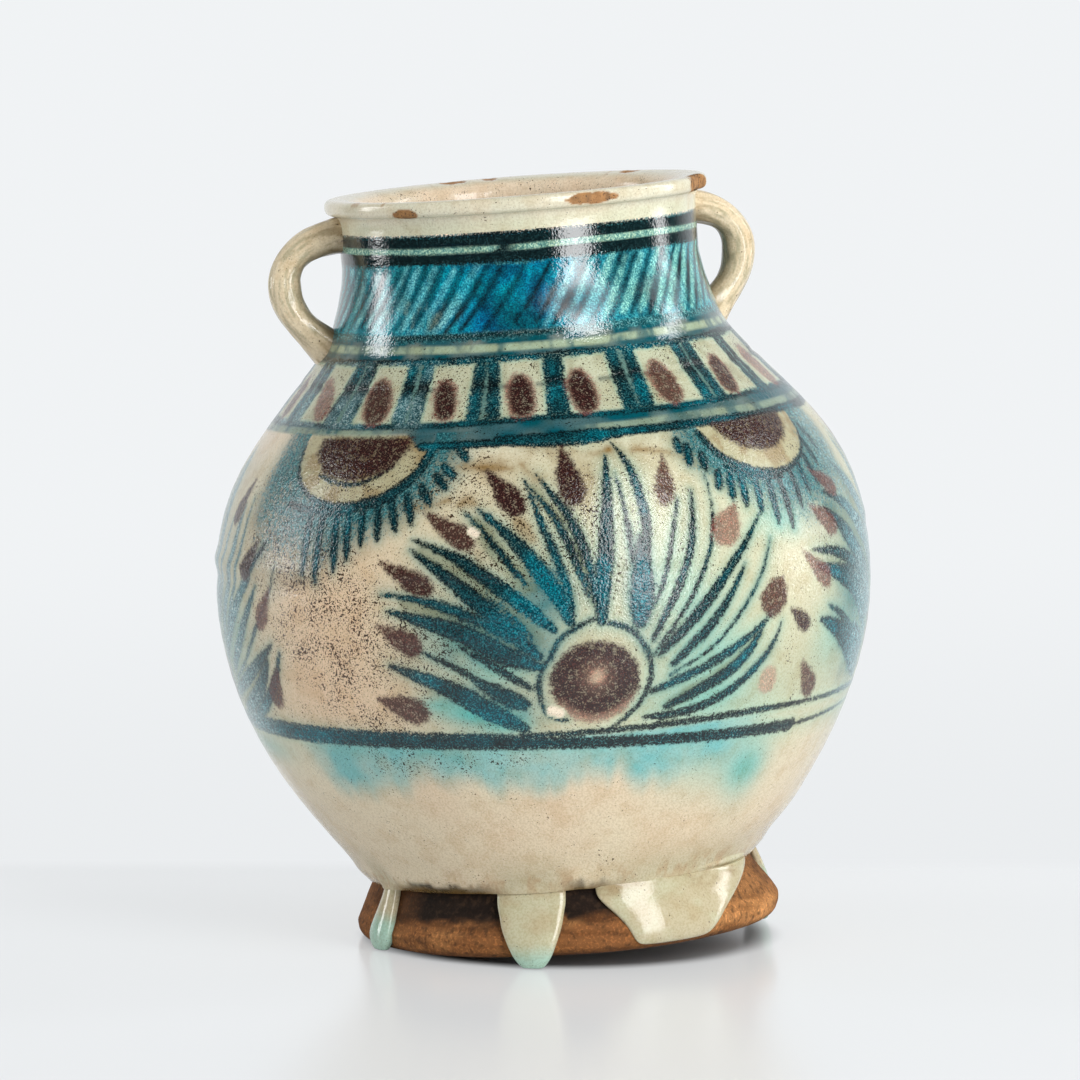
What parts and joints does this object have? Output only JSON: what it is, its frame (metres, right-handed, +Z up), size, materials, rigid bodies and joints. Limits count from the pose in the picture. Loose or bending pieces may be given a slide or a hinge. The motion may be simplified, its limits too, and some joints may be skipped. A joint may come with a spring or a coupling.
{
  "type": "ceramic urn",
  "caption": "Bulbous two-handled earthenware urn with a short neck, rolled lip and flared foot ring, painted under a run glaze, leaning as it stands; holds liquids, grain or dry flowers.",
  "frame": {"origin": "on the surface that the urn stands on, straight below the middle of its belly, which is the bottom centre of its box", "axes": "+Z up, -Y to the front that carries the fan motif, +X to the right seen from the front; the urn's own axis leans 4.25 degrees towards -X and 1 degree towards +Y"},
  "size_m": [0.1676, 0.1676, 0.1958],
  "materials": {
    "bare_clay": "unglazed brown earthenware, dull and lightly pitted",
    "painted_glaze": "cream glaze over cobalt and manganese brushwork, glossy and speckled",
    "blue_glaze": "turquoise and dark blue brushwork under a glossy clear glaze",
    "cream_glaze": "cream glaze, glossy, worn tan at the edges",
    "pooled_glaze": "thick pale green pooled glaze, glassy"
  },
  "bodies": {
    "root": {"foot_ring": "bare_clay", "lower_bowl": "painted_glaze", "shoulder": "painted_glaze", "neck": "blue_glaze", "rim": "cream_glaze", "left_handle": "cream_glaze", "right_handle": "cream_glaze", "left_glaze_run": "pooled_glaze", "front_glaze_run": "pooled_glaze", "right_glaze_run": "pooled_glaze", "glaze_apron": "pooled_glaze"}
  },
  "joints": []
}
